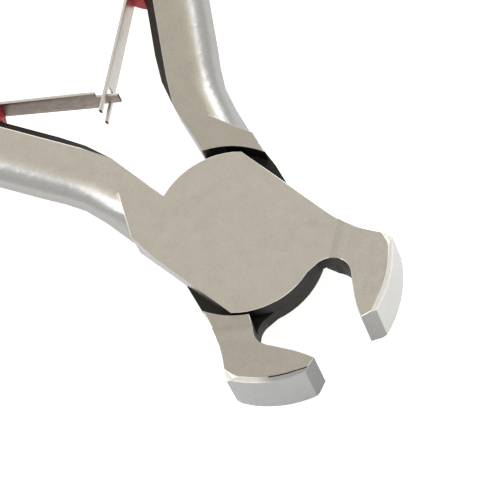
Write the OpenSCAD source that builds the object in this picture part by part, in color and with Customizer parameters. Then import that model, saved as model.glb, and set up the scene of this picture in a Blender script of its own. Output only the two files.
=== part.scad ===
// End cutting nippers with a lap joint, two leaf springs and moulded grips, lying flat.
// Millimetres. The pivot axis is Z. The origin is where it leaves the lower ground face of the head.
// The jaws point along -Y. A half is drawn closed, with its jaw at +X, its handle at -X and its
// own plate above the middle plane. It is then swung open, and the other half is turned over.

/* [Joint] */
// Angle between the halves as drawn, 0 with the cutting edges together
open_angle = 21.6; // [18:0.1:23]
// Radius of each half's round lap plate
plate_r = 8.6; // [8.3:0.05:8.7]
// Thickness of one lap plate, half of the head
plate_t = 2.4; // [2.2:0.05:2.8]
// Width over the two straight sides of the head
head_w = 14; // [13.4:0.1:14.6]
// Gap between the two plates' sliding faces
slide_gap = 0.04; // [0.02:0.01:0.08]
// Gap between a plate's rim and the jaw shoulder round it
rim_gap = 0.25; // [0.2:0.05:0.4]
// Radius of the handle shoulder round the other half's plate
shoulder_r = 9.1; // [9.05:0.05:9.4]
// How far the handle shoulder's centre lies towards the jaw's side
shoulder_x = 0.8; // [0.5:0.05:0.9]
// How far the handle shoulder's centre lies towards the handles
shoulder_y = 0.6; // [0.5:0.05:0.9]

/* [Joint rivet] */
// Diameter of the rivet's shank
rivet_d = 5; // [4:0.1:6]
// Diameter of its two countersunk heads, ground flush
rivet_head_d = 6.6; // [6.4:0.1:7.6]
// Depth of each countersunk head
rivet_head_t = 1; // [0.6:0.05:1.2]
// Radial running gap of the rivet in the lower half
rivet_gap = 0.03; // [0.02:0.01:0.08]

/* [Jaws] */
// From the pivot to the cutting edge
edge_reach = 16.3; // [16:0.05:16.5]
// Width of the blade along the pivot axis
blade_w = 8.6; // [8:0.1:9.2]
// Radius of the ground front of the jaws
front_r = 11.65; // [11.4:0.05:11.9]
// From the pivot to the centre of that radius
front_centre = 5.6; // [5.5:0.05:5.8]
// Slope of the bevel at the cutting edge to the front of the jaws
bevel_angle = 30; // [20:1:40]
// Radius of the hollow outer side of each jaw
waist_r = 19.5; // [18:0.5:21]
// From the pivot to where that hollow starts
waist_y = 5.8; // [5.4:0.1:6.2]
// Radius of the round end of the throat
throat_r = 2.1; // [1.9:0.05:2.2]
// From the tool's centre line to the centre of that round
throat_x = 1.75; // [1.6:0.05:1.9]
// From the pivot to the centre of that round
throat_y = 10.85; // [10.75:0.05:11.1]
// Slope of the throat's straight side to the front of the jaws
throat_angle = 47; // [45:0.5:49]
// Length of that straight side
throat_side = 2.2; // [1.8:0.1:2.6]
// From the pivot to where the flare of the jaws starts, on the throat's side
flare_inner_y = 9.1; // [8.9:0.1:9.5]
// From the pivot to where the flare starts, on the outer side
flare_outer_y = 7.6; // [7.2:0.1:8]
// Radius of the hollow in which the flare starts
flare_r = 5; // [4:0.25:6]
// Slope of the flare to the head's flat face
flare_angle = 20; // [18:0.5:23]
// Width of the chamfer round the ground front
front_chamfer = 0.4; // [0.2:0.05:0.6]
// From the pivot to the outer end of the blade
blade_end = 8.6; // [8.4:0.05:8.8]
// Radius of the two corners at the outer end of the blade
blade_end_r = 1.5; // [1:0.1:2]
// Slope of the cut between the throat and the other half's plate to the jaw's side
clearing_angle = 14; // [12:0.5:16]
// From the middle of the throat's round end to that cut's wall
clearing_w = 2; // [1.9:0.05:2]

/* [Handles] */
// Length of a handle along its middle, from the pivot
handle_len = 96; // [88:1:104]
// Gap between the closed handles' inner sides at the head
neck_gap = 2.6; // [2.4:0.1:2.8]
// Width of a handle at its widest
shank_w = 6.4; // [6.2:0.1:6.7]
// Width of a handle at its rear end
tail_w = 4.8; // [4.2:0.1:5.6]
// Thickness of a handle behind the head
shank_t = 4.6; // [4.3:0.1:4.8]
// Thickness of a handle at its rear end
tail_t = 3.6; // [3.2:0.1:4.2]
// How far the forging stands above the head before that is ground flat
forge_over = 0.15; // [0.1:0.05:0.3]
// Length along the handle to where its thickness and its rounding start to change
blend_start = 9; // [8.6:0.1:9.4]
// Length over which they change
blend_len = 7; // [6:0.1:8]
// From the pivot to the end of the head's ground flat, on the outer side
ground_outer_y = 8.4; // [8:0.1:9]
// Width of the head over which that end runs back along the handle
ground_w = 4; // [3.6:0.1:4.2]
// From the pivot to that end on its inner side
ground_inner_y = 13.6; // [13:0.1:14]
// How far the head's outer side draws in from its straight part to that end
ground_taper = 0.35; // [0.2:0.05:0.5]
// How far the head's drawn-in side still stands out over the forging
ground_over = 0.05; // [0.03:0.01:0.1]
// Width of the slanted band on the inner side
band_w = 0.9; // [0.6:0.05:1.1]
// Height of the upright strip between the two slanted bands
band_gap = 2.4; // [2:0.1:3]
// Width of the rounded outer side
round_w = 3.1; // [2.6:0.1:3.3]
// Angle at which a handle leaves the tool's centre line
bow_angle = 20; // [19:0.5:21]
// Angle through which it turns back over the grip
return_angle = 31; // [26:1:33]
// Length along the handle to where it starts to leave the centre line
bend_start = 12.6; // [12.4:0.1:13]
// Length over which it bends outwards
bend_len = 8.2; // [7.8:0.1:9]
// Length along the handle to where it starts to turn back
back_start = 32; // [31:0.5:34]
// Length over which it turns back
back_len = 32; // [30:0.5:36]

/* [Leaf springs] */
// Width of a leaf at its root
leaf_w = 3.4; // [3.2:0.1:3.6]
// Width of a leaf at its free end
leaf_end_w = 3.9; // [3.7:0.1:4.1]
// Thickness of a leaf
leaf_t = 0.32; // [0.28:0.02:0.4]
// Angle at which a leaf leaves the inner side of its handle
set_angle = 23.6; // [23:0.1:24.2]
// Length along the handle to the leaf's bend
leaf_at = 33.1; // [32.6:0.1:33.6]
// Length of the root that lies on the handle
root_len = 9; // [8:0.5:11]
// Depth of the flat that the root lies on
seat_depth = 0.35; // [0.3:0.05:0.45]
// From the bend to where the free leaf leaves the grip
lead_len = 5.2; // [5:0.05:5.4]
// Free length of the leaf with the tongue
tongue_len = 12.4; // [12.3:0.05:12.6]
// Free length of the leaf with the fork
fork_len = 13.2; // [13:0.05:13.4]
// Width of the tongue
tongue_w = 1.9; // [1.5:0.05:2.1]
// Gap on each side of the tongue in the fork
tongue_gap = 0.2; // [0.15:0.05:0.3]
// Length of the free leaf to the fork's root and to the tongue's shoulders
notch_at = 10.1; // [9.8:0.05:10.25]
// Gap at the bending line, between the free leaf's rounded end and its root
leaf_gap = 0.05; // [0.03:0.01:0.1]
// Diameter of the rivet that holds a leaf
leaf_rivet_d = 1.6; // [1.2:0.1:2]
// Length of that rivet's shank in the handle
leaf_rivet_len = 3; // [2.4:0.1:3.4]
// Diameter of that rivet's head
leaf_rivet_head_d = 3; // [2.6:0.1:3.4]
// Thickness of that rivet's head
leaf_rivet_head_t = 0.5; // [0.4:0.05:0.6]

/* [Grips] */
// Length along the handle from the pivot to the grip
grip_start = 30; // [29.6:0.1:30.4]
// Plastic behind the handle's end
grip_cap = 4; // [3:0.1:5]
// Width of a grip at its fullest
grip_w = 11; // [10.6:0.1:11.6]
// Height of a grip at its fullest
grip_h = 9; // [8.4:0.1:9.6]
// Width of a grip at its front end
grip_front_w = 9.2; // [8.8:0.1:9.8]
// Height of a grip at its front end
grip_front_h = 7.2; // [6.8:0.1:7.8]
// Width of a grip at its rear end
grip_tail_w = 8.6; // [8:0.1:9.2]
// Height of a grip at its rear end
grip_tail_h = 7.4; // [6.8:0.1:8]
// Gap between plastic and steel
grip_gap = 0.02; // [0.01:0.01:0.04]
// Height of the nose that holds the leaf, ahead of the grip
nose_h = 5; // [4.8:0.1:5.4]
// Width of the nose
nose_w = 3.8; // [3.6:0.1:4]
// Plastic of the nose on the leaf's far side
nose_wall = 1.1; // [1:0.05:1.2]
// Length over which the nose's front is rounded
nose_round = 0.8; // [0.4:0.05:1.2]
// Slope of the nose's front, which stands forward towards the handle
nose_angle = 8; // [4:1:12]

/* [Hidden] */
$fn = 96;
// How far every cut runs past what it cuts
overrun = 1;
ground_steel = "#b9b2a5";
spring_steel = "#9b9288";
red_plastic = "#cc2b2b";

// Counts of points and rings, and shares of a size
arc_steps = 24;
round_steps = 6;
handle_rings = 34;
grip_rings = 22;
grip_sides = 28;
end_rings = 5;
track_steps = 300;
edge_share = 0.04;
lip_share = 0.93;
end_share = 0.93;
corner_share = 0.77;
waist_angle = 40;
begin_angle = 85;
corner_angle = 75;

// The handle fills the space between the middle gap and the head's side. It starts on the plate,
// in the part that is cut away for the other half.
neck_w = (head_w - neck_gap) / 2 - ground_taper - ground_over;
handle_start = shoulder_x + shoulder_y;
track_end = handle_len + grip_cap;
track_step = (track_end - handle_start) / track_steps;

function toward(a) = [cos(a), sin(a)];
// 0 before one length, 1 after another, and a smooth change between
function ease(s, from, len) =
    let (t = min(1, max(0, (s - from) / len)))
    t * t * (3 - 2 * t);
function arc(centre, r, from, to) =
    [for (i = [0 : arc_steps]) centre + r * toward(from + (to - from) * i / arc_steps)];

// The handle's middle line: its heading off the tool's centre line, its places and its directions
function heading(s) =
    bow_angle * ease(s, bend_start, bend_len) - return_angle * ease(s, back_start, back_len);
track = [for (i = 0, p = [-(neck_gap + neck_w) / 2, handle_start]; i <= track_steps;
              p = p + track_step * toward(90 + heading(handle_start + (i + 0.5) * track_step)),
              i = i + 1) p];
function spot(s) =
    let (t = min(track_steps, max(0, (s - handle_start) / track_step)),
         i = min(floor(t), track_steps - 1))
    track[i] * (i + 1 - t) + track[i + 1] * (t - i);
function on_handle(s, u) = spot(s) + u * toward(heading(s));

// The handle's cross-section: a flat inner side between two slanted bands, a flat top and bottom,
// and a rounded outer side. It starts square and thicker than the head, which is ground flat.
function handle_w(s) =
    neck_w + (shank_w - neck_w) * ease(s, bend_start, bend_len)
    - (shank_w - tail_w) * ease(s, back_start, handle_len - back_start);
function handle_half_t(s) =
    plate_t + forge_over - (plate_t + forge_over - shank_t / 2) * ease(s, blend_start, blend_len)
    - (shank_t - tail_t) / 2 * ease(s, back_start, handle_len - back_start);
function band_growth(s) = max(edge_share, ease(s, bend_start + bend_len / 3, bend_len / 2));
function handle_section(s, grow) =
    let (w = handle_w(s) / 2 + grow,
         t = handle_half_t(s) + grow,
         round = round_w * ease(s, handle_start, blend_len),
         top = concat([[w, t - (t - band_gap / 2) * band_growth(s)], [w - band_w * band_growth(s), t]],
                      [for (i = [0 : round_steps])
                       let (a = 90 * i / round_steps) [round - w - round * sin(a), t * cos(a)]]))
    concat(top, [for (i = [len(top) - 2 : -1 : 0]) [top[i].x, -top[i].y]]);
function handle_ring(s, grow) =
    [for (q = handle_section(s, grow)) let (p = on_handle(s, q.x)) [p.x, p.y, q.y]];

// A ring between an ellipse and a rectangle
function squared(v) = sign(v) * pow(abs(v), corner_share);
function squared_ring(half_w, half_h) =
    [for (i = [0 : grip_sides - 1])
     let (t = 360 * (i + 0.5) / grip_sides) [half_w * squared(cos(t)), half_h * squared(sin(t))]];

// The grip's half sizes along the handle, from the front over the fullest place to the rear
function grip_size(s, front, full, tail) =
    (front + (full - front) * ease(s, grip_start, back_len)
     - (full - tail) * ease(s, back_start + back_len, handle_len - back_start - back_len)) / 2;
function grip_ring(s, share) =
    [for (q = squared_ring(grip_size(s, grip_front_w, grip_w, grip_tail_w) * share,
                           grip_size(s, grip_front_h, grip_h, grip_tail_h) * share))
     let (p = on_handle(s, q.x)) [p.x, p.y, q.y]];

// A skin over rings of points, closed at both ends
module skin(rings) {
    n = len(rings[0]);
    last = len(rings) - 1;
    sides = [for (j = [0 : last - 1], i = [0 : n - 1], half = [0, 1])
             let (k = (i + 1) % n)
             half == 0 ? [j * n + i, j * n + k, (j + 1) * n + k]
                       : [j * n + i, (j + 1) * n + k, (j + 1) * n + i]];
    ends = [[for (i = [n - 1 : -1 : 0]) i], [for (i = [0 : n - 1]) last * n + i]];
    polyhedron([for (r = rings) each r], concat(sides, ends), convexity = 6);
}

module handle_body(grow) {
    skin([for (i = [0 : handle_rings])
          let (s = handle_start + (handle_len + grow - handle_start) * i / handle_rings)
          handle_ring(s, grow)]);
}

// The jaw in plan
jaw_edge = [0, -edge_reach];
throat_centre = [throat_x, -throat_y];
throat_turn = throat_angle - 90;
side_start = throat_centre + throat_r * toward(throat_turn);
side_end = side_start + throat_side * toward(throat_angle - 180);
swell_chord = jaw_edge - side_end;
swell_turn = atan2(swell_chord.y, swell_chord.x) - (throat_angle - 180);
swell_r = norm(swell_chord) / 2 / sin(swell_turn);
swell_centre = side_end + swell_r * toward(throat_angle - 90);
waist_centre = [head_w / 2 + waist_r, -waist_y];
jaw_outline = concat(
    [[-throat_x / 2, throat_r - throat_y + 2 * rim_gap]],
    arc(throat_centre, throat_r, begin_angle, throat_turn),
    arc(swell_centre, swell_r, throat_angle + 90, throat_angle + 90 + 2 * swell_turn),
    [jaw_edge + front_centre * toward(-bevel_angle)],
    arc(waist_centre, waist_r, 180 + waist_angle, 180),
    [[head_w / 2, 0], [0, 0]]);

// What the grinding of the front leaves: a disc with chamfered rims
module front_disc() {
    rim_r = front_r - front_chamfer - overrun;
    rim_z = blade_w / 2 + overrun;
    rotate_extrude()
        polygon([[0, -rim_z],
                 [rim_r, -rim_z],
                 [front_r, front_chamfer - blade_w / 2],
                 [front_r, blade_w / 2 - front_chamfer],
                 [rim_r, rim_z],
                 [0, rim_z]]);
}

// What the grinding of the faces leaves: the head's thickness, then a hollow and a straight flare
// to the blade's width. It is drawn from the side and laid across the line where the flare starts.
flare_inner = [throat_x + throat_r, -flare_inner_y];
flare_outer = [head_w / 2, -flare_outer_y];
flare_line = atan2(flare_outer.y - flare_inner.y, flare_outer.x - flare_inner.x);
hollow_end = [-flare_r * sin(flare_angle), plate_t + flare_r * (1 - cos(flare_angle))];
flare_end = hollow_end.x - (blade_w / 2 - hollow_end.y) / tan(flare_angle);
module flared_slab() {
    reach = edge_reach + front_r;
    upper = concat([[reach, plate_t]],
                   arc([0, plate_t + flare_r], flare_r, -90, -90 - flare_angle),
                   [[flare_end, blade_w / 2], [-reach, blade_w / 2]]);
    translate([flare_inner.x, flare_inner.y, 0])
        rotate([0, 0, flare_line])
            translate([-reach, 0, 0])
                rotate([90, 0, 90])
                    linear_extrude(height = 2 * reach)
                        polygon(concat(upper, [for (i = [len(upper) - 1 : -1 : 0])
                                               [upper[i].x, -upper[i].y]]));
}

// The blade seen from its front, with its two outer corners rounded
module rounded_end() {
    corner = [blade_end - blade_end_r, blade_w / 2 - blade_end_r];
    round = arc(corner, blade_end_r, 0, corner_angle);
    upper = concat(round, [round[arc_steps] + 2 * blade_w * toward(corner_angle + 90)]);
    translate([0, edge_reach, 0])
        rotate([90, 0, 0])
            linear_extrude(height = 3 * edge_reach)
                polygon(concat(upper, [for (i = [len(upper) - 1 : -1 : 0])
                                       [upper[i].x, -upper[i].y]]));
}

module jaw() {
    intersection() {
        translate([0, 0, -blade_w])
            linear_extrude(height = 2 * blade_w)
                polygon(jaw_outline);
        translate([0, -front_centre, 0])
            front_disc();
        flared_slab();
        rounded_end();
    }
}

// The square corner of the head beside the handle, ground off at a slant where the handle starts.
// It stands out furthest on the plate's side.
module neck() {
    straight_y = sqrt(pow(plate_r, 2) - pow(head_w / 2, 2));
    drawn_in = ground_taper - head_w / 2;
    translate([0, 0, -plate_t - forge_over])
        linear_extrude(height = 2 * (plate_t + forge_over))
            polygon([[drawn_in, 0],
                     [ground_w - head_w / 2, 0],
                     [ground_w - head_w / 2, ground_inner_y],
                     [drawn_in, ground_outer_y]]);
    linear_extrude(height = plate_t + forge_over)
        polygon([[-head_w / 2, 0],
                 [(ground_w - head_w) / 2, 0],
                 [(ground_w - head_w) / 2, ground_outer_y],
                 [drawn_in, ground_outer_y],
                 [-head_w / 2, straight_y]]);
}

// The round plate with its two straight sides
module plate() {
    intersection() {
        cylinder(r = plate_r, h = plate_t);
        cube([head_w, 2 * shoulder_r, blade_w], center = true);
    }
}

// The space below the middle plane that the other half's plate turns in. It opens into the throat.
module lap_recess() {
    translate([0, 0, slide_gap / 2 - blade_w])
        cylinder(r = plate_r + rim_gap, h = blade_w);
    translate([throat_centre.x, throat_centre.y, -blade_w])
        rotate([0, 0, clearing_angle])
            translate([-throat_y, 0, 0])
                cube([throat_y + clearing_w, throat_y / 2, blade_w]);
    intersection() {
        translate([shoulder_x, shoulder_y, slide_gap / 2 - blade_w])
            cylinder(r = shoulder_r, h = blade_w);
        translate([-2 * shoulder_r, shoulder_y, -2 * blade_w])
            cube([4 * shoulder_r, 2 * shoulder_r, 4 * blade_w]);
    }
}

// The hole for the rivet and its head in a plate
module rivet_hole(gap) {
    rotate_extrude()
        polygon([[0, -overrun],
                 [rivet_d / 2 + gap, -overrun],
                 [rivet_d / 2 + gap, plate_t - rivet_head_t],
                 [rivet_head_d / 2 + gap, plate_t],
                 [rivet_head_d / 2 + gap, plate_t + overrun],
                 [0, plate_t + overrun]]);
}

// The leaf's root: a flat on the handle's inner side, the bend, and the lead out of the grip.
// The leaf bends at the root and again, as the spring works, at the hinge spot.
seat_front = on_handle(leaf_at, handle_w(leaf_at) / 2);
seat_rear = on_handle(leaf_at + root_len, handle_w(leaf_at + root_len) / 2);
seat_angle = atan2(seat_front.y - seat_rear.y, seat_front.x - seat_rear.x);
leaf_bend = seat_front + (leaf_t / 2 - seat_depth) * toward(seat_angle + 90);
leaf_angle = seat_angle + set_angle;
hinge_spot = leaf_bend + lead_len * toward(leaf_angle);

// Children drawn along the root or along the free leaf, with Y away from the handle
module along_root() {
    translate([leaf_bend.x, leaf_bend.y, 0])
        rotate([0, 0, seat_angle])
            children();
}

module along_leaf() {
    translate([hinge_spot.x, hinge_spot.y, 0])
        rotate([0, 0, leaf_angle])
            children();
}

module root_strip(grow, ahead) {
    half_t = leaf_t / 2 + grow;
    mitre = half_t * tan(set_angle / 2);
    front = (lead_len + ahead) * toward(set_angle);
    front_side = half_t * toward(set_angle + 90);
    along_root()
        translate([0, 0, -leaf_w / 2 - grow])
            linear_extrude(height = leaf_w + 2 * grow)
                polygon([[-root_len - grow, half_t], [-mitre, half_t], front + front_side,
                         front - front_side, [mitre, -half_t], [-root_len - grow, -half_t]]);
}

// What is milled off the handle's inner side for the root
module seat_cut(gap) {
    ahead = 2 * seat_depth / tan(set_angle);
    along_root()
        translate([-root_len - leaf_gap + gap, gap - leaf_t / 2, -leaf_w])
            cube([root_len + leaf_gap + ahead - 2 * gap, shank_w / 2, 2 * leaf_w]);
}

// The rivet that holds the root, pointing into the handle
module leaf_rivet(gap) {
    along_root()
        translate([-root_len / 2, 0, 0])
            rotate([90, 0, 0]) {
                translate([0, 0, -leaf_t])
                    cylinder(d = leaf_rivet_d, h = leaf_rivet_len + leaf_t);
                translate([0, 0, -leaf_t / 2 - leaf_rivet_head_t - gap])
                    cylinder(d = leaf_rivet_head_d + 2 * gap, h = leaf_rivet_head_t + gap);
            }
}

module half_body(gap) {
    difference() {
        union() {
            plate();
            jaw();
            handle_body(0);
            neck();
        }
        // The two faces of the head are ground flat
        for (side = [-1, 1])
            translate([-head_w, 0, side * (plate_t + overrun) - overrun])
                cube([head_w, bend_start + bend_len, 2 * overrun]);
        lap_recess();
        rivet_hole(gap);
        seat_cut(0);
        leaf_rivet(0);
    }
}

// The nose of the grip runs along the lead of the leaf to the hinge spot
module nose() {
    off = nose_wall + leaf_t / 2 - nose_w / 2;
    along_leaf()
        skin([for (i = [end_rings + 1 : -1 : 0])
              let (a = 90 * i / (end_rings + 1),
                   d = i == 0 ? -lead_len : nose_round * (sin(a) - 1),
                   share = i == 0 ? lip_share : end_share + (1 - end_share) * cos(a))
              [for (q = squared_ring(nose_w / 2 * share, nose_h / 2 * share))
               [d - (q.x + off) * tan(nose_angle), q.x + off, q.y]]]);
}

module grip_body() {
    difference() {
        union() {
            skin(concat(
                [for (i = [0 : grip_rings])
                 grip_ring(grip_start + (handle_len - grip_start) * i / grip_rings,
                           i == 0 ? lip_share : 1)],
                [for (i = [1 : end_rings])
                 let (a = 90 * end_share * i / end_rings)
                 grip_ring(handle_len + grip_cap * sin(a), cos(a))]));
            nose();
        }
        difference() {
            handle_body(grip_gap);
            seat_cut(grip_gap);
        }
        root_strip(grip_gap, overrun);
        leaf_rivet(grip_gap);
    }
}

module free_leaf(len) {
    along_leaf() {
        rotate([90, 0, 0])
            translate([0, 0, -leaf_t / 2])
                linear_extrude(height = leaf_t)
                    polygon([[0, -leaf_w / 2], [len, -leaf_end_w / 2],
                             [len, leaf_end_w / 2], [0, leaf_w / 2]]);
        translate([0, 0, -leaf_w / 2])
            cylinder(d = leaf_t, h = leaf_w);
    }
}

// A part of the leaf's end, over its whole thickness
module leaf_end(wide) {
    along_leaf()
        translate([notch_at, -leaf_t, -wide / 2])
            cube([fork_len, 2 * leaf_t, wide]);
}

module leaf_root() {
    difference() {
        root_strip(0, -leaf_t / 2 - leaf_gap);
        leaf_rivet(0);
    }
}

// A half with all that it carries, swung open: 1 is the upper half, -1 the lower one
module place(side) {
    translate([0, 0, plate_t])
        rotate([0, 0, side * open_angle / 2])
            rotate([0, side < 0 ? 180 : 0, 0])
                children();
}

module upper_half() {
    color(ground_steel)
        place(1)
            half_body(0);
}

module lower_half() {
    color(ground_steel)
        place(-1)
            half_body(rivet_gap);
}

module joint_rivet() {
    color(ground_steel)
        place(1)
            rotate_extrude()
                polygon([[0, -plate_t],
                         [rivet_head_d / 2, -plate_t],
                         [rivet_d / 2, rivet_head_t - plate_t],
                         [rivet_d / 2, plate_t - rivet_head_t],
                         [rivet_head_d / 2, plate_t],
                         [0, plate_t]]);
}

module left_grip() {
    color(red_plastic)
        place(1)
            grip_body();
}

module right_grip() {
    color(red_plastic)
        place(-1)
            grip_body();
}

module tongue_spring() {
    color(spring_steel)
        place(1)
            difference() {
                free_leaf(tongue_len);
                difference() {
                    leaf_end(2 * leaf_w);
                    leaf_end(tongue_w);
                }
            }
}

module fork_spring() {
    color(spring_steel)
        place(-1)
            difference() {
                free_leaf(fork_len);
                leaf_end(tongue_w + 2 * tongue_gap);
            }
}

module tongue_root() {
    color(spring_steel)
        place(1)
            leaf_root();
}

module fork_root() {
    color(spring_steel)
        place(-1)
            leaf_root();
}

module left_spring_rivet() {
    color(ground_steel)
        place(1)
            leaf_rivet(0);
}

module right_spring_rivet() {
    color(ground_steel)
        place(-1)
            leaf_rivet(0);
}

upper_half();
lower_half();
joint_rivet();
left_grip();
right_grip();
tongue_spring();
fork_spring();
tongue_root();
fork_root();
left_spring_rivet();
right_spring_rivet();
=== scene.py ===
import math

import bmesh
import bpy
from mathutils import Matrix, Vector


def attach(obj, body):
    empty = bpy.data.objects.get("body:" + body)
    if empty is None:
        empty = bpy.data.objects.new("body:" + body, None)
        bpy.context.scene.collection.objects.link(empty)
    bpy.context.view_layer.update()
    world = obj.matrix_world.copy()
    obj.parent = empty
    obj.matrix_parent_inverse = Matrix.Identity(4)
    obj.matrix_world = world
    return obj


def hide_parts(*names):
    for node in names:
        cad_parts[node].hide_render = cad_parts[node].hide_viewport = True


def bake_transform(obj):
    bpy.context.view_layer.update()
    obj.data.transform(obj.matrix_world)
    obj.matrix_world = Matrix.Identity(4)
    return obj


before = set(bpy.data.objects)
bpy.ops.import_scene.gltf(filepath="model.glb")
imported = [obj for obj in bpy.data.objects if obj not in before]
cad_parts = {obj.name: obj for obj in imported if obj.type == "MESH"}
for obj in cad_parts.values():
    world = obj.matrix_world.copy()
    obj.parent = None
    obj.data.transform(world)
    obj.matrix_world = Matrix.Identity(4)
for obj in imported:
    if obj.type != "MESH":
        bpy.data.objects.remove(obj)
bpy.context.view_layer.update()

# The two halves. Each is one drop forging of carbon steel: a jaw, a round lap plate and a handle.
# The head's faces and the jaws are ground with a fine belt. The walls of the lap and the throat,
# and the inner sides of the handles, keep the dark skin of the forging.
MM = 0.001

# Patterns on steel. The marks of a fine belt are about 0.05 mm wide and the metal's grain is finer
# still. At 0.1 mm to a pixel neither would show, so both are drawn coarser. The ripple that
# a flap wheel leaves, the stains, and the patches where belt or wheel pressed more or less have
# their real sizes, and the slopes are cosines of 6 and 22 degrees.
MARK_WIDTH = 0.22 * MM
MARK_STRETCH = (0.06, 1, 0.5)
MARK_STRENGTH = 0.5
GRAIN_SIZE = 0.12 * MM
GRAIN_SHARE = 0.25
RIPPLE_SIZE = 0.9 * MM
STAIN_SIZE = 3.5 * MM
STAIN_FROM, STAIN_FULL = 0.6, 0.75
GLOSS_SPREAD = 0.07
SLOPE_GLOSS_SPREAD = 0.08
SLOPE_FROM, SLOPE_FULL = 0.995, 0.93


def linear(code):
    """An sRGB hex colour as linear red, green, blue and alpha."""
    parts = [int(code[i : i + 2], 16) / 255 for i in (1, 3, 5)]
    return [c / 12.92 if c <= 0.04045 else ((c + 0.055) / 1.055) ** 2.4 for c in parts] + [1]


def add(tree, kind, sockets, **settings):
    """Adds a node with its settings, and gives each named socket a link or a value."""
    node = tree.nodes.new("ShaderNode" + kind)
    for name, value in settings.items():
        setattr(node, name, value)
    for name, value in sockets.items():
        if isinstance(value, bpy.types.NodeSocket):
            tree.links.new(value, node.inputs[name])
        else:
            node.inputs[name].default_value = value
    return node


def new_material(name):
    """A material with an empty node tree, the tree and its output node."""
    made = bpy.data.materials.new(name)
    made.use_nodes = True
    made.node_tree.nodes.clear()
    return made, made.node_tree, made.node_tree.nodes.new("ShaderNodeOutputMaterial")


def steel(name, greys, stain, roughness, turn, depth, patch, side=None, fade=None):
    """Steel with fine marks, soft patches of two greys, and stains of a colour and a strength.

    turn is the direction of the marks and depth how deep they are, and patch is how wide the
    patches are. side is the grey, the roughness and the relief of faces that slope. fade is
    a grey, and the two places along X between which the surface turns to it, as painted shade.
    """
    made, tree, out = new_material(name)
    place = add(tree, "TexCoord", {}).outputs["Object"]
    along = add(tree, "Mapping", {"Vector": place, "Rotation": (0, 0, turn)})
    drawn_out = add(tree, "Mapping", {"Vector": along.outputs["Vector"], "Scale": MARK_STRETCH})
    marks = add(
        tree,
        "TexNoise",
        {
            "Vector": drawn_out.outputs["Vector"],
            "Scale": 1 / MARK_WIDTH,
            "Detail": 3,
            "Roughness": 0.6,
        },
    )
    patches = add(
        tree, "TexNoise", {"Vector": place, "Scale": 1 / patch, "Detail": 6, "Roughness": 0.65}
    )
    light, dark = greys
    mottled = add(
        tree,
        "MixRGB",
        {"Fac": patches.outputs["Fac"], "Color1": linear(dark), "Color2": linear(light)},
    )
    gloss = add(
        tree,
        "MapRange",
        {
            "Value": marks.outputs["Fac"],
            "To Min": roughness - GLOSS_SPREAD,
            "To Max": roughness + GLOSS_SPREAD,
        },
    )
    relief = add(
        tree,
        "Bump",
        {"Height": marks.outputs["Fac"], "Strength": MARK_STRENGTH, "Distance": depth},
    )
    colour, rough = mottled.outputs["Color"], gloss.outputs["Result"]
    if side:
        side_grey, side_roughness, side_relief = side
        normal = add(tree, "NewGeometry", {}).outputs["Normal"]
        facing = add(tree, "SeparateXYZ", {"Vector": normal})
        level = add(tree, "Math", {0: facing.outputs["Z"]}, operation="ABSOLUTE")
        sloping = add(
            tree,
            "MapRange",
            {"Value": level.outputs["Value"], "From Min": SLOPE_FROM, "From Max": SLOPE_FULL},
            interpolation_type="SMOOTHSTEP",
        ).outputs["Result"]
        colour = add(
            tree, "MixRGB", {"Fac": sloping, "Color1": colour, "Color2": linear(side_grey)}
        ).outputs["Color"]
        brushed = add(
            tree,
            "MapRange",
            {
                "Value": patches.outputs["Fac"],
                "To Min": side_roughness - SLOPE_GLOSS_SPREAD,
                "To Max": side_roughness + SLOPE_GLOSS_SPREAD,
            },
        )
        rough = add(
            tree, "MixRGB", {"Fac": sloping, "Color1": rough, "Color2": brushed.outputs["Result"]}
        ).outputs["Color"]
        ripple = add(tree, "TexNoise", {"Vector": place, "Scale": 1 / RIPPLE_SIZE, "Detail": 3})
        waves = add(tree, "Math", {0: ripple.outputs["Fac"], 1: sloping}, operation="MULTIPLY")
        relief = add(
            tree,
            "Bump",
            {
                "Height": waves.outputs["Value"],
                "Distance": side_relief,
                "Normal": relief.outputs["Normal"],
            },
        )
    if fade:
        faded_grey, fade_from, fade_to = fade
        across = add(tree, "SeparateXYZ", {"Vector": place})
        faded = add(
            tree,
            "MapRange",
            {"Value": across.outputs["X"], "From Min": fade_from, "From Max": fade_to},
            interpolation_type="SMOOTHSTEP",
        ).outputs["Result"]
        colour = add(
            tree, "MixRGB", {"Fac": faded, "Color1": colour, "Color2": linear(faded_grey)}
        ).outputs["Color"]
    grain = add(tree, "TexNoise", {"Vector": place, "Scale": 1 / GRAIN_SIZE, "Detail": 2})
    grained = add(
        tree,
        "MixRGB",
        {"Fac": GRAIN_SHARE, "Color1": colour, "Color2": grain.outputs["Fac"]},
        blend_type="OVERLAY",
    )
    stain_colour, stain_strength = stain
    stain_cloud = add(
        tree, "TexNoise", {"Vector": place, "Scale": 1 / STAIN_SIZE, "Detail": 5, "Roughness": 0.7}
    )
    stained = add(
        tree,
        "MapRange",
        {
            "Value": stain_cloud.outputs["Fac"],
            "From Min": STAIN_FROM,
            "From Max": STAIN_FULL,
            "To Max": stain_strength,
        },
    )
    colour = add(
        tree,
        "MixRGB",
        {
            "Fac": stained.outputs["Result"],
            "Color1": grained.outputs["Color"],
            "Color2": linear(stain_colour),
        },
    )
    shader = add(
        tree,
        "BsdfPrincipled",
        {
            "Base Color": colour.outputs["Color"],
            "Metallic": 1,
            "Roughness": rough,
            "Normal": relief.outputs["Normal"],
        },
    )
    tree.links.new(shader.outputs["BSDF"], out.inputs["Surface"])
    return made
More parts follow.
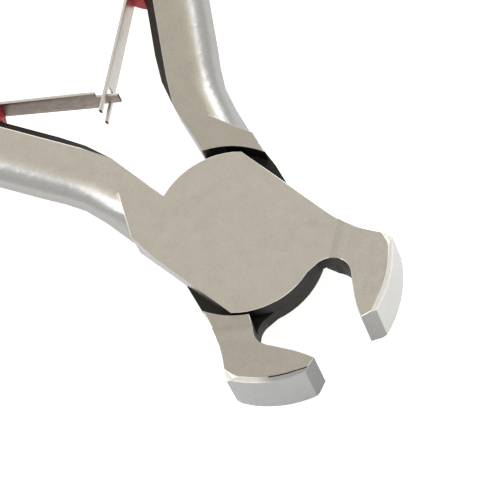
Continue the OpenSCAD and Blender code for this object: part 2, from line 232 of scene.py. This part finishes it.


# Carbon steel, ground flat with a fine belt: a warm soft grey with a dull gloss. Where the handles
# round over, a flap wheel has left them cooler, glossier and lightly rippled. The lower half's
# greys are darker than the upper half's, as painted shade. The flare that runs up to each jaw's
# front is a little darker than the flats of its half, also painted shade.
BELT = {"roughness": 0.42, "turn": 0.5, "depth": 0.002 * MM, "patch": 1.4 * MM}
ROUNDED = ("#a9a8a5", 0.3, 0.03 * MM)
upper_flats = steel(
    "belt_ground_upper_half", ("#b6b0a4", "#a59e91"), ("#85796a", 0.2), **BELT, side=ROUNDED
)
shaded_lower_flats = steel(
    "belt_ground_lower_half_painted_shade", ("#a9a295", "#999285"), ("#7d7264", 0.3), **BELT, side=ROUNDED
)
shaded_upper_flare = steel("belt_ground_upper_flare_painted_shade", ("#ada79c", "#9d968b"), ("#85796a", 0.2), **BELT)
shaded_lower_flare = steel("belt_ground_lower_flare_painted_shade", ("#a29c90", "#938c80"), ("#7d7264", 0.3), **BELT)

# Whetted on a stone: an even, cooler and darker grey than the flats have. The lower half's copy is
# darker still, as painted shade.
WHETTED = {"roughness": 0.38, "turn": 1.4, "depth": 0.001 * MM, "patch": 1.2 * MM}
upper_bevel = steel("whetted_bevel_upper", ("#9d9c99", "#8f8e8b"), ("#6d6a65", 0.4), **WHETTED)
shaded_lower_bevel = steel("whetted_bevel_lower_painted_shade", ("#8b8a88", "#7d7c7a"), ("#63605c", 0.4), **WHETTED)

# The fronts, ground fine across the jaw, with more gloss than the flats have. Their clean cool
# pale greys are a painted reflection of the bright floor that the fronts look down at, and the
# upper jaw's is the paler one, painted light.
FINE = {"turn": 1.4, "depth": 0.001 * MM, "patch": 1.8 * MM}
lit_upper_front = steel(
    "fine_ground_front_upper_painted_light", ("#d0cfcb", "#c4c3c0"), ("#a5a19a", 0.3), roughness=0.34, **FINE
)
lit_lower_front = steel(
    "fine_ground_front_lower_painted_light", ("#aaaaa8", "#9e9e9c"), ("#85827d", 0.3), roughness=0.38, **FINE
)

# The head's outer sides, polished with a flap wheel over the forging: soft uneven reflections
polished_side = steel(
    "flap_polished_forging",
    ("#b6b5b2", "#9c9b98"),
    ("#7c7872", 0.4),
    roughness=0.3,
    turn=1.0,
    depth=0.004 * MM,
    patch=0.9 * MM,
)

# Edges worn bright by handling and use, their near-white partly a painted highlight: thin pale
# lines round the faces. On the lower half they turn to a duller grey, painted shade, all but those
# at its jaw's outer corner, which keep the painted highlight.
WEAR_AND_GLINT = {
    "greys": ("#efece4", "#d8d3c8"),
    "stain": ("#a89e90", 0.2),
    "roughness": 0.3,
    "turn": 0.5,
    "depth": 0.001 * MM,
    "patch": 0.6 * MM,
}
upper_wear_and_glint = steel("bright_worn_edge_upper", **WEAR_AND_GLINT)
lower_wear_and_glint = steel("bright_worn_edge_lower", **WEAR_AND_GLINT, fade=("#a4a4a2", -9 * MM, -7.4 * MM))

# Forging scale, and the oxidised walls of the lap and the throat: dark greys with little gloss,
# the walls nearly black. The walls' near-black is also painted shade in the crease behind the
# lower jaw's front.
forge_skin = steel(
    "dark_forging_scale",
    ("#5a5853", "#3f3d39"),
    ("#2a2723", 0.6),
    roughness=0.5,
    turn=1.2,
    depth=0.004 * MM,
    patch=0.7 * MM,
)
lap_oxide_and_crease_shade = steel(
    "oxidised_lap_wall_and_crease_shade",
    ("#3b3833", "#2c2a26"),
    ("#1b1816", 0.6),
    roughness=0.55,
    turn=0.2,
    depth=0.004 * MM,
    patch=0.5 * MM,
)

# The finishes, in the order in which each half is given them
FLAT, SKIN, LAP, EDGE, FRONT, SIDE, FLARE, BEVEL = range(8)

# The halves' sizes, and where each finish starts and ends, in the closed tool with the jaw at
# plus X. Slopes are cosines: how far a face looks up, or towards plus X.
OPEN_HALF_ANGLE = math.radians(10.8)
MIDDLE = 2.4 * MM
PLATE_RADIUS = 8.6 * MM
HEAD_SIDE = 7 * MM
THROAT = Vector((1.75, -10.85)) * MM
FRONT_CENTRE = Vector((0, -5.6)) * MM
FRONT_RADIUS = 11.65 * MM
FRONT_CHAMFER = 0.4 * MM
EDGE_BREAK = 0.07 * MM
LOOKS_UP = 0.9
UPRIGHT = 0.3
LAP_REACH = 0.1 * MM
RIM_REACH = 0.7 * MM
RIM_LOOKS_ASIDE = 0.97
BEVEL_TO = -13 * MM
BEVEL_LOOKS_IN = -0.2
LOWER_GLINT_FROM = 4.5 * MM
CORNER_FROM = 7 * MM
CORNER_TO = -12 * MM
CORNER_LOOKS_UP = 0.935
THROAT_TO = -6 * MM
FRONT_WALL = 1 * MM
SKIN_FROM = 15 * MM
SKIN_LOOKS_IN = 0.3
SIDE_TO = 9 * MM
FLARE_TO = -7.4 * MM

# How near points are one, and how level two triangles are, where a CAD shape's are joined
ONE_POINT = 0.0005 * MM
ONE_FACE = math.radians(0.4)


def alone(piece):
    """Selects one piece only."""
    bpy.ops.object.select_all(action="DESELECT")
    piece.select_set(True)
    bpy.context.view_layer.objects.active = piece


def merged_copy(node, name):
    """A copy of a CAD node's shape with its loose triangles joined and its flat faces whole."""
    piece = bpy.data.objects.new(name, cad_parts[node].data.copy())
    bpy.context.scene.collection.objects.link(piece)
    piece.data.materials.clear()
    alone(piece)
    bpy.ops.object.mode_set(mode="EDIT")
    bpy.ops.mesh.select_all(action="SELECT")
    bpy.ops.mesh.remove_doubles(threshold=ONE_POINT)
    bpy.ops.mesh.dissolve_limited(angle_limit=ONE_FACE)
    bpy.ops.mesh.select_all(action="DESELECT")
    bpy.ops.object.mode_set(mode="OBJECT")
    return piece


def closed_place(point, side):
    """A point or direction of a half, turned back to the closed tool with the jaw at plus X."""
    turned = Matrix.Rotation(-side * OPEN_HALF_ANGLE, 3, "Z") @ point
    return Vector((side * turned.x, turned.y, turned.z))


def skin_index(centre, normal, side):
    """Which finish a face of a half has, by its place and direction in the closed tool."""
    spot = closed_place(centre, side)
    facing = closed_place(normal, side)
    flat_spot = spot.to_2d()
    from_front = (flat_spot - FRONT_CENTRE).length
    upright = abs(facing.z) < UPRIGHT
    if abs(spot.z - MIDDLE) < LAP_REACH and abs(facing.z) > LOOKS_UP:
        return LAP
    by_plate = abs(flat_spot.length - PLATE_RADIUS) < RIM_REACH
    if by_plate and abs(spot.x) < HEAD_SIDE - EDGE_BREAK:
        if upright and abs(facing.x) < RIM_LOOKS_ASIDE:
            return LAP
    if spot.y < BEVEL_TO and upright and facing.x < BEVEL_LOOKS_IN:
        return BEVEL
    # The front's chamfer takes the pale edge, a painted highlight, all along the upper jaw, but on
    # the lower jaw only on its outer part; the rest keeps the front's grey.
    if spot.y < -FRONT_CENTRE.length and from_front > FRONT_RADIUS - FRONT_CHAMFER:
        if abs(facing.z) < LOOKS_UP:
            return EDGE if not upright and (side > 0 or spot.x > LOWER_GLINT_FROM) else FRONT
    # A painted highlight: faces at each jaw's outer corner, between level and upright, take the
    # pale edge.
    at_corner = spot.x > CORNER_FROM and spot.y < CORNER_TO
    if at_corner and UPRIGHT < abs(facing.z) < CORNER_LOOKS_UP:
        return EDGE
    towards_work = facing.to_2d().dot(THROAT - flat_spot) > 0
    behind_front = spot.y < THROAT_TO and from_front < FRONT_RADIUS - FRONT_WALL
    if upright and towards_work and behind_front:
        return LAP
    if spot.y > SKIN_FROM and facing.x > SKIN_LOOKS_IN:
        return SKIN
    if upright and spot.y < SIDE_TO:
        return SIDE
    return FLARE if spot.y < FLARE_TO else FLAT


# Every edge of a half is broken but those of the lap, those beside the rivet's heads, and behind
# the jaws those beside faces that are too narrow for it, or that lie in the shallow hollow before
# the flare, where a face is 0.3 to 19.3 degrees from level. The head's outer rim is broken wider.
SHARP = math.radians(22)
SHORTEST_EDGE = 0.04 * MM
LAP_EDGE = 0.2 * MM
RIVET_HEAD_RADIUS = 3.4 * MM
HOLLOW_STEEPEST = math.cos(math.radians(19.3))
HOLLOW_FLATTEST = math.cos(math.radians(0.3))
HOLLOW_TO = -10.5 * MM
RIM_BREAK = 0.2 * MM
RIM_SIDE = 0.9 * -HEAD_SIDE
RIM_FROM, RIM_TO = -5 * MM, 8.3 * MM
RIM_HEIGHT = 2.3 * MM
CREASE_REACH = 1.5 * EDGE_BREAK

# For the shading, which keeps large and level faces flat up to their broken edges
LEVEL = 0.9995
SMALL_FACE = 0.5 * MM * MM
LARGE_FACE = 1.5 * MM * MM
KINK = math.radians(3)
SMOOTH_BELOW = math.radians(28)

for node, side, body, flats, flare, front, wear_and_glint, bevel in (
    ("upper_half", 1, "upper", upper_flats, shaded_upper_flare, lit_upper_front, upper_wear_and_glint, upper_bevel),
    ("lower_half", -1, "lower", shaded_lower_flats, shaded_lower_flare, lit_lower_front, lower_wear_and_glint, shaded_lower_bevel),
):
    half = merged_copy(node, node + "_steel")
    for finish in (flats, forge_skin, lap_oxide_and_crease_shade, wear_and_glint, front, polished_side, flare, bevel):
        half.data.materials.append(finish)
    shape = bmesh.new()
    shape.from_mesh(half.data)
    bmesh.ops.dissolve_degenerate(shape, dist=SHORTEST_EDGE, edges=shape.edges[:])
    loose = [edge for edge in shape.edges if edge.is_wire]
    bmesh.ops.delete(shape, geom=loose, context="EDGES")
    for face in shape.faces:
        face.material_index = skin_index(face.calc_center_median(), face.normal, side)

    sharp_edges, rim_edges = [], []
    for edge in shape.edges:
        middle = (edge.verts[0].co + edge.verts[1].co) / 2
        spot = closed_place(middle, side)
        sharp = edge.is_manifold and edge.calc_face_angle() > SHARP
        in_lap = abs(middle.z - MIDDLE) <= LAP_EDGE
        by_rivet = middle.to_2d().length < RIVET_HEAD_RADIUS
        near_level = any(
            HOLLOW_STEEPEST < abs(face.normal.z) < HOLLOW_FLATTEST for face in edge.link_faces
        )
        narrow = any(
            face.calc_area() < 2 * EDGE_BREAK * max(rim.calc_length() for rim in face.edges)
            for face in edge.link_faces
        )
        unfit = (narrow or near_level) and spot.y > HOLLOW_TO
        if sharp and not (unfit or by_rivet or in_lap):
            on_side = spot.x < RIM_SIDE and RIM_FROM < spot.y < RIM_TO
            above = side * (spot.z - MIDDLE) > RIM_HEIGHT
            (rim_edges if on_side and above else sharp_edges).append(edge)
    for edges, width in ((sharp_edges, EDGE_BREAK), (rim_edges, RIM_BREAK)):
        bmesh.ops.bevel(
            shape,
            geom=[edge for edge in edges if edge.is_valid],
            offset=width,
            offset_type="OFFSET",
            segments=2,
            profile=0.5,
            affect="EDGES",
            material=EDGE,
            clamp_overlap=False,
        )

    # Painted shade: behind the lower jaw's front, the broken edge in the crease, all but its outer
    # part, takes the near-black of the lap's walls
    for face in shape.faces:
        spot = closed_place(face.calc_center_median(), side)
        from_rim = (spot.to_2d() - FRONT_CENTRE).length - FRONT_RADIUS + FRONT_CHAMFER
        at_crease = abs(from_rim) < CREASE_REACH and spot.y < FLARE_TO
        dark_part = side < 0 and spot.x < LOWER_GLINT_FROM
        if face.material_index == EDGE and at_crease and dark_part:
            face.material_index = LAP

    for edge in shape.edges:
        level = [abs(face.normal.z) > LEVEL for face in edge.link_faces]
        by_break = any(face.calc_area() < SMALL_FACE for face in edge.link_faces)
        if level.count(True) == 1 and by_break and edge.calc_face_angle() > KINK:
            edge.smooth = False
    shape.to_mesh(half.data)
    shape.free()
    bpy.ops.object.shade_smooth_by_angle(angle=SMOOTH_BELOW)
    by_large = {i for face in half.data.polygons if face.area > LARGE_FACE for i in face.vertices}
    half.vertex_groups.new(name="flat rims").add(sorted(by_large), 1, "REPLACE")
    crisp = half.modifiers.new("flat faces", "WEIGHTED_NORMAL")
    crisp.keep_sharp = True
    crisp.vertex_group = "flat rims"
    bpy.ops.object.modifier_apply(modifier=crisp.name)
    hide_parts(node)
    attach(half, body)

# The joint rivet and the two small rivets of the leaves, of mild steel, set cold and ground flush
# or left as low round heads. The small ones are under the plastic. Ground with the head's faces,
# the joint rivet has the look of the upper half's flats and hardly shows.
for node in ("joint_rivet", "left_spring_rivet", "right_spring_rivet"):
    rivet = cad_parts[node]
    rivet.data.materials.clear()
    rivet.data.materials.append(upper_flats)

# The two leaf springs, of cold-rolled spring steel, cut with shears and bent once. Each is riveted
# to the inner side of its handle and leaves the plastic. The left one ends in a tongue, which
# passes through the fork of the right one.
LEAF_HINGE = Vector((-8.7545, 28.1438)) * MM
LEAF_DIRECTION = math.radians(-38.126)
ROOT_DIRECTION = math.radians(-61.726)
LEAD = 5.2 * MM
ROOT = 9 * MM
LEAF_WIDTH = 3.4 * MM
LEAF_END_WIDTH = 3.9 * MM
LEAF_THICKNESS = 0.32 * MM
BEND = 0.8 * MM
NOTCH = 10.1 * MM
TONGUE_LENGTH = 12.4 * MM
TONGUE_WIDTH = 1.9 * MM
FORK_LENGTH = 13.2 * MM
SLOT_WIDTH = 2.3 * MM
SHEAR_BREAK = 0.05 * MM

# The leaf's grid: its rows, the steps of its bend and its columns by the hinge, in mm
ROWS = 4
BEND_STEPS = 8
HINGE_COLUMNS = (-2, -1, -0.6, -0.3, 0, 0.3, 0.6, 1, 2)

# Cold-rolled strip, smooth and fairly glossy: the left leaf has heavy brown stains, and the right
# one's pale greys are painted light, for its face that turns to the lamps. The sheared edges are
# pale, and the cut ends at the tips are dark.
ROLLED = {"roughness": 0.36, "turn": 0.7, "depth": 0.001 * MM, "patch": 0.9 * MM}
stained_steel = steel(
    "rolled_spring_steel_stained", ("#a4988d", "#5f544b"), ("#33291f", 0.9), **ROLLED
)
lit_spring_steel = steel(
    "rolled_spring_steel_bright", ("#e0ddd6", "#cbc7bf"), ("#7d756b", 0.6), **ROLLED
)
sheared_edge = steel(
    "sheared_spring_edge",
    ("#cbc6bc", "#b3aca2"),
    ("#8d8377", 0.4),
    roughness=0.33,
    turn=0.7,
    depth=0.001 * MM,
    patch=0.5 * MM,
)
cut_end = steel(
    "blackened_leaf_tip",
    ("#4a443e", "#2c2825"),
    ("#1d1a18", 0.6),
    roughness=0.5,
    turn=0.7,
    depth=0.001 * MM,
    patch=0.4 * MM,
)
BROAD, SHEARED, CUT = range(3)
LOOKS_ALONG_PIVOT = 0.5


def leaf_place(distance, side):
    """A place on the middle of a leaf, by its distance from the hinge line."""
    ahead = Vector((math.cos(LEAF_DIRECTION), math.sin(LEAF_DIRECTION)))
    behind = Vector((math.cos(ROOT_DIRECTION), math.sin(ROOT_DIRECTION)))
    corner = LEAF_HINGE - LEAD * ahead
    past = distance + LEAD
    if past > BEND:
        place = corner + past * ahead
    elif past < -BEND:
        place = corner + past * behind
    else:
        share = (past + BEND) / (2 * BEND)
        start, end = corner - BEND * behind, corner + BEND * ahead
        place = start * (1 - share) ** 2 + 2 * share * (1 - share) * corner + end * share**2
    return Vector((side * place.x, place.y))


for name, side, body, nodes, tip, slit, broad in (
    (
        "tongue_leaf",
        1,
        "tongue",
        ("tongue_spring", "tongue_root"),
        TONGUE_LENGTH,
        TONGUE_WIDTH,
        stained_steel,
    ),
    (
        "fork_leaf",
        -1,
        "fork",
        ("fork_spring", "fork_root"),
        FORK_LENGTH,
        SLOT_WIDTH,
        lit_spring_steel,
    ),
):
    stations = [-LEAD - ROOT, -LEAD - ROOT / 2]
    stations += [-LEAD + BEND * (2 * i / BEND_STEPS - 1) for i in range(BEND_STEPS + 1)]
    stations += [-LEAD / 2] + [distance * MM for distance in HINGE_COLUMNS]
    stations += [NOTCH * 0.4, NOTCH * 0.7, NOTCH, (NOTCH + tip) / 2, tip]
    bpy.ops.object.select_all(action="DESELECT")
    bpy.ops.mesh.primitive_grid_add(
        x_subdivisions=len(stations) - 1, y_subdivisions=ROWS, size=2
    )
    leaf = bpy.context.object
    leaf.name = name
    shape = bmesh.new()
    shape.from_mesh(leaf.data)
    columns = {}
    for point in shape.verts:
        columns[point] = (
            round((point.co.x + 1) / 2 * (len(stations) - 1)),
            round((point.co.y + 1) / 2 * ROWS),
        )
    gone = []
    for face in shape.faces:
        middle = sum(columns[point][0] for point in face.verts) / len(face.verts)
        across = sum(columns[point][1] for point in face.verts) / len(face.verts)
        inner = 1 < across < ROWS - 1
        if stations[int(middle)] >= NOTCH and (inner if side < 0 else not inner):
            gone.append(face)
    bmesh.ops.delete(shape, geom=gone, context="FACES")
    for point in shape.verts:
        column, row = columns[point]
        place = leaf_place(stations[column], side)
        grown = max(0, stations[column] / tip) * (LEAF_END_WIDTH - LEAF_WIDTH)
        rim = (LEAF_WIDTH + grown) / 2
        point.co = (place.x, place.y, MIDDLE + (-rim, -slit / 2, 0, slit / 2, rim)[row])
    bmesh.ops.recalc_face_normals(shape, faces=shape.faces)
    shape.to_mesh(leaf.data)
    shape.free()
    alone(leaf)
    wall = leaf.modifiers.new("thickness", "SOLIDIFY")
    wall.thickness = LEAF_THICKNESS
    wall.offset = 0
    bpy.ops.object.modifier_apply(modifier=wall.name)
    rounding = leaf.modifiers.new("sheared corners", "BEVEL")
    rounding.width = SHEAR_BREAK
    rounding.segments = 2
    rounding.limit_method = "ANGLE"
    rounding.angle_limit = math.radians(50)
    bpy.ops.object.modifier_apply(modifier=rounding.name)
    for finish in (broad, sheared_edge, cut_end):
        leaf.data.materials.append(finish)
    reach = Vector((side * math.cos(LEAF_DIRECTION), math.sin(LEAF_DIRECTION), 0))
    hinge = Vector((side * LEAF_HINGE.x, LEAF_HINGE.y, MIDDLE))
    for face in leaf.data.polygons:
        at_tip = (face.center - hinge).dot(reach) > tip - 2 * SHEAR_BREAK
        on_edge = abs(face.normal.z) > LOOKS_ALONG_PIVOT
        face.material_index = CUT if at_tip else SHEARED if on_edge else BROAD
    bpy.ops.object.shade_smooth_by_angle(angle=math.radians(30))
    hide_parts(*nodes)
    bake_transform(leaf)

# The two grips, of red vinyl that the handles are dipped in. It runs up round the leaf in a nose.
# Dipping leaves no corner sharp, and a soft half-gloss skin with a faint orange peel.
VOXEL = 0.3 * MM
FLOW_STEPS = 8

# Dipped vinyl: deep red with hardly any change of tone, and broad soft lights that the peel,
# drawn at its real size, just breaks up
PEEL = 0.9 * MM
PEEL_DEPTH = 0.02 * MM
CLOUD = 7 * MM
vinyl, tree, out = new_material("dipped_red_vinyl")
place = add(tree, "TexCoord", {}).outputs["Object"]
peel = add(tree, "TexNoise", {"Vector": place, "Scale": 1 / PEEL, "Detail": 2})
cloud = add(tree, "TexNoise", {"Vector": place, "Scale": 1 / CLOUD, "Detail": 4})
red = add(
    tree,
    "MixRGB",
    {"Fac": cloud.outputs["Fac"], "Color1": linear("#cc0f18"), "Color2": linear("#dc1a22")},
)
sheen = add(tree, "MapRange", {"Value": cloud.outputs["Fac"], "To Min": 0.38, "To Max": 0.5})
skin = add(
    tree, "Bump", {"Height": peel.outputs["Fac"], "Strength": 0.25, "Distance": PEEL_DEPTH}
)
shader = add(
    tree,
    "BsdfPrincipled",
    {
        "Base Color": red.outputs["Color"],
        "Roughness": sheen.outputs["Result"],
        "IOR": 1.45,
        "Specular IOR Level": 0.18,
        "Normal": skin.outputs["Normal"],
    },
)
tree.links.new(shader.outputs["BSDF"], out.inputs["Surface"])

for node, body in (("left_grip", "upper"), ("right_grip", "lower")):
    grip = merged_copy(node, node + "_vinyl")
    coat = grip.modifiers.new("dipped skin", "REMESH")
    coat.mode = "VOXEL"
    coat.voxel_size = VOXEL
    bpy.ops.object.modifier_apply(modifier=coat.name)
    flow = grip.modifiers.new("flow", "SMOOTH")
    flow.factor = 0.5
    flow.iterations = FLOW_STEPS
    bpy.ops.object.modifier_apply(modifier=flow.name)
    bpy.ops.object.shade_smooth()
    grip.data.materials.append(vinyl)
    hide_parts(node)
    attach(grip, body)

# A plain pale floor just under the tool, which lies on its blades and grips. White matt paper:
# the camera and reflections see it near to white, and it keeps the tool's shadow.
FLOOR_SIZE = 4
FLOOR_LEVEL = -2.15 * MM
PAPER_SEEN = 0.78
PAPER_MIRRORED = 0.5
bpy.ops.object.select_all(action="DESELECT")
bpy.ops.mesh.primitive_plane_add(size=FLOOR_SIZE, location=(0, 0, FLOOR_LEVEL))
floor = bpy.context.object
floor.name = "floor"
paper, tree, out = new_material("white_paper")
rays = add(tree, "LightPath", {})
seen = add(
    tree,
    "Math",
    {0: rays.outputs["Is Glossy Ray"], 1: rays.outputs["Is Transmission Ray"]},
    operation="MAXIMUM",
)
mirrored = add(tree, "Math", {0: seen.outputs["Value"], 1: PAPER_MIRRORED}, operation="MULTIPLY")
direct = add(
    tree, "Math", {0: rays.outputs["Is Camera Ray"], 1: PAPER_SEEN}, operation="MULTIPLY"
)
glow = add(
    tree, "Math", {0: mirrored.outputs["Value"], 1: direct.outputs["Value"]}, operation="ADD"
)
matt = add(tree, "BsdfDiffuse", {"Color": linear("#f4f4f4")})
lit = add(tree, "Emission", {"Color": linear("#ffffff"), "Strength": glow.outputs["Value"]})
both = add(tree, "AddShader", {0: matt.outputs["BSDF"], 1: lit.outputs["Emission"]})
tree.links.new(both.outputs["Shader"], out.inputs["Surface"])
floor.data.materials.append(paper)

# Soft studio light: a pale room, a broad weak lamp behind, and one on each side of the handles.
# The room is paler where the camera or a reflection sees it than in the light that it gives.
ROOM_LIGHT = 0.55
ROOM_SEEN = 0.9
world = bpy.data.worlds.new("studio")
bpy.context.scene.world = world
world.use_nodes = True
tree = world.node_tree
tree.nodes.clear()
rays = add(tree, "LightPath", {})
seen = add(
    tree,
    "Math",
    {0: rays.outputs["Is Camera Ray"], 1: rays.outputs["Is Glossy Ray"]},
    operation="MAXIMUM",
)
seen = add(
    tree,
    "Math",
    {0: seen.outputs["Value"], 1: rays.outputs["Is Transmission Ray"]},
    operation="MAXIMUM",
)
strength = add(
    tree, "MapRange", {"Value": seen.outputs["Value"], "To Min": ROOM_LIGHT, "To Max": ROOM_SEEN}
)
room = add(
    tree, "Background", {"Color": linear("#ffffff"), "Strength": strength.outputs["Result"]}
)
out = tree.nodes.new("ShaderNodeOutputWorld")
tree.links.new(room.outputs["Background"], out.inputs["Surface"])


def lamp(name, place, size, power):
    """A square soft lamp that points at the head, its place and size in metres."""
    bpy.ops.object.select_all(action="DESELECT")
    bpy.ops.object.light_add(type="AREA", location=place)
    made = bpy.context.object
    made.name = name
    made.data.size = size
    made.data.energy = power
    made.rotation_euler = (-Vector(place)).to_track_quat("-Z", "Y").to_euler()


lamp("back_lamp", place=(0.05, 0.7, 0.5), size=0.7, power=0.6)
lamp("left_lamp", place=(-0.5, 0.31, 0.62), size=0.42, power=1.6)
lamp("right_lamp", place=(0.57, 0.31, 0.56), size=0.4, power=1.6)

# The camera stands above and in front of the head, where the photograph was taken from, with
# a long lens. The lens and the sensor are given in millimetres, as Blender takes them.
CAMERA_PLACE = Vector((-40.3, -146.5, 374.8)) * MM
CAMERA_AZIMUTH = math.radians(-15.54)
CAMERA_TILT = math.radians(22)
CAMERA_ROLL = math.radians(26.48)
CAMERA_LENS = 288
SENSOR_WIDTH = 36
NEAREST = 10 * MM
bpy.ops.object.select_all(action="DESELECT")
bpy.ops.object.camera_add(location=CAMERA_PLACE)
camera = bpy.context.object
camera.data.lens = CAMERA_LENS
camera.data.sensor_width = SENSOR_WIDTH
camera.data.clip_start = NEAREST
camera.rotation_euler = (
    Matrix.Rotation(CAMERA_AZIMUTH, 3, "Z")
    @ Matrix.Rotation(CAMERA_TILT, 3, "X")
    @ Matrix.Rotation(-CAMERA_ROLL, 3, "Z")
).to_euler()
bpy.context.scene.camera = camera
bpy.context.scene.view_settings.view_transform = "Standard"
